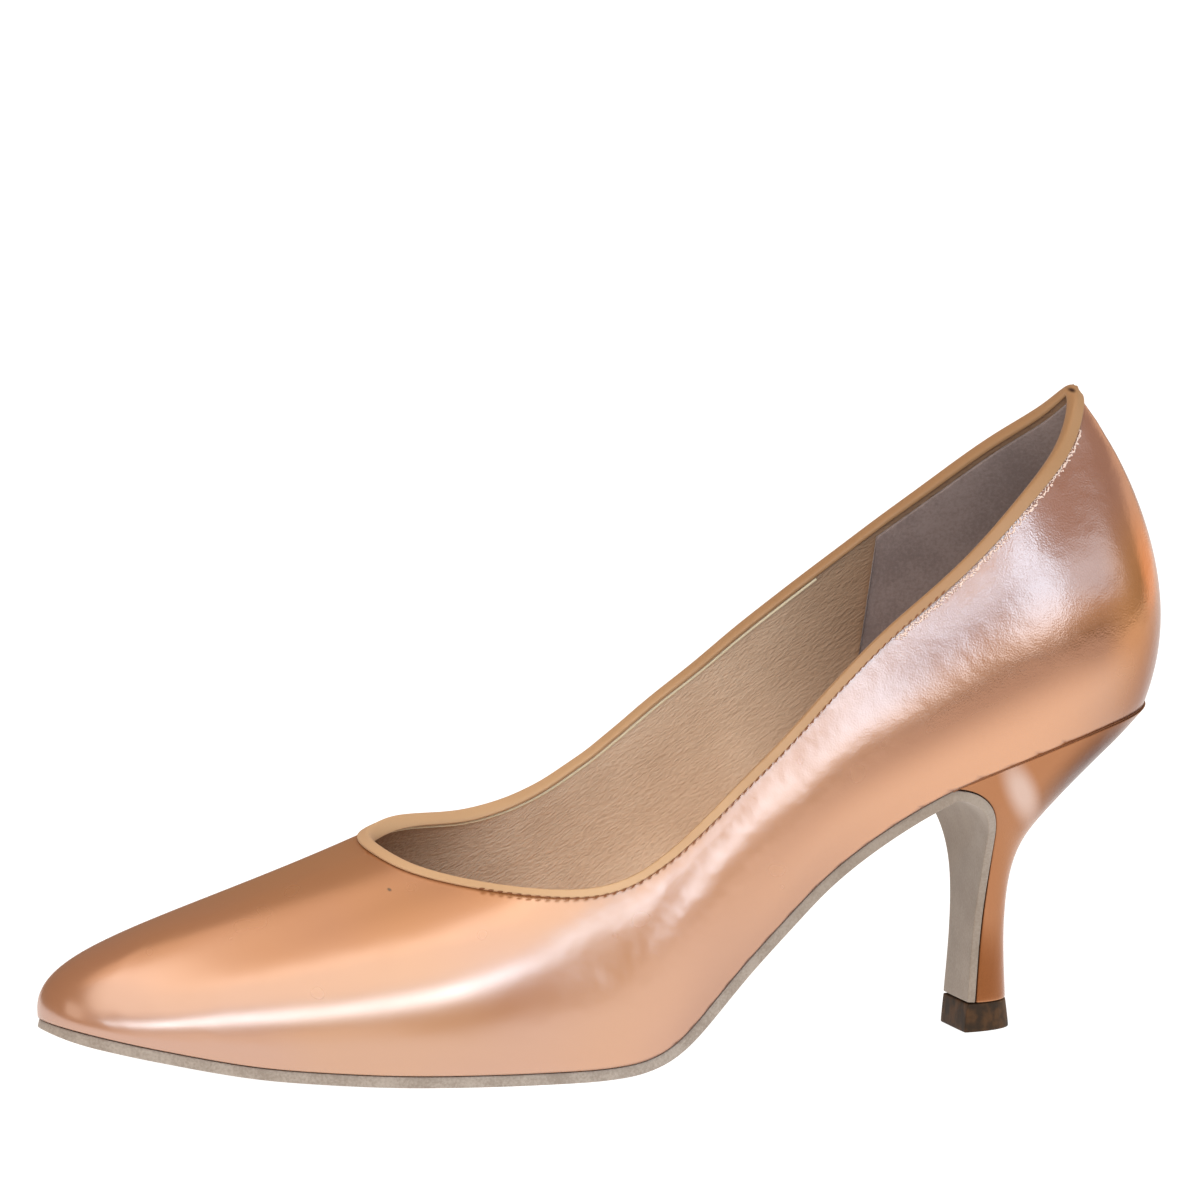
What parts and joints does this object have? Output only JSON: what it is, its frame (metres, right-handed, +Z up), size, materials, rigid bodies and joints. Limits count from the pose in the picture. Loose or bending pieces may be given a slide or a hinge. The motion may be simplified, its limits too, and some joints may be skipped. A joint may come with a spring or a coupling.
{
  "type": "ballroom dance shoe",
  "caption": "Left satin court pump for ballroom dancing, with closed almond toe, bound topline, suede sole and a slim flared heel.",
  "frame": {"origin": "middle of the bounding box, on the floor the shoe stands on", "axes": "+X from the toe to the back of the heel, +Y to the inner side of the foot, +Z up"},
  "size_m": [0.2428, 0.076, 0.1345],
  "materials": {
    "satin": "peach satin, glossy along the folds",
    "binding_leather": "smooth tan leather",
    "grip_suede": "mauve-grey suede",
    "lining_leather": "tan-taupe lining leather, finely wrinkled",
    "sole_suede": "grey-beige napped suede",
    "top_piece": "matt dark brown"
  },
  "bodies": {
    "root": {"upper": "satin", "topline_binding": "binding_leather", "heel_grip": "grip_suede", "insole": "lining_leather", "outsole": "sole_suede", "heel": "satin", "top_piece": "top_piece"}
  },
  "joints": []
}
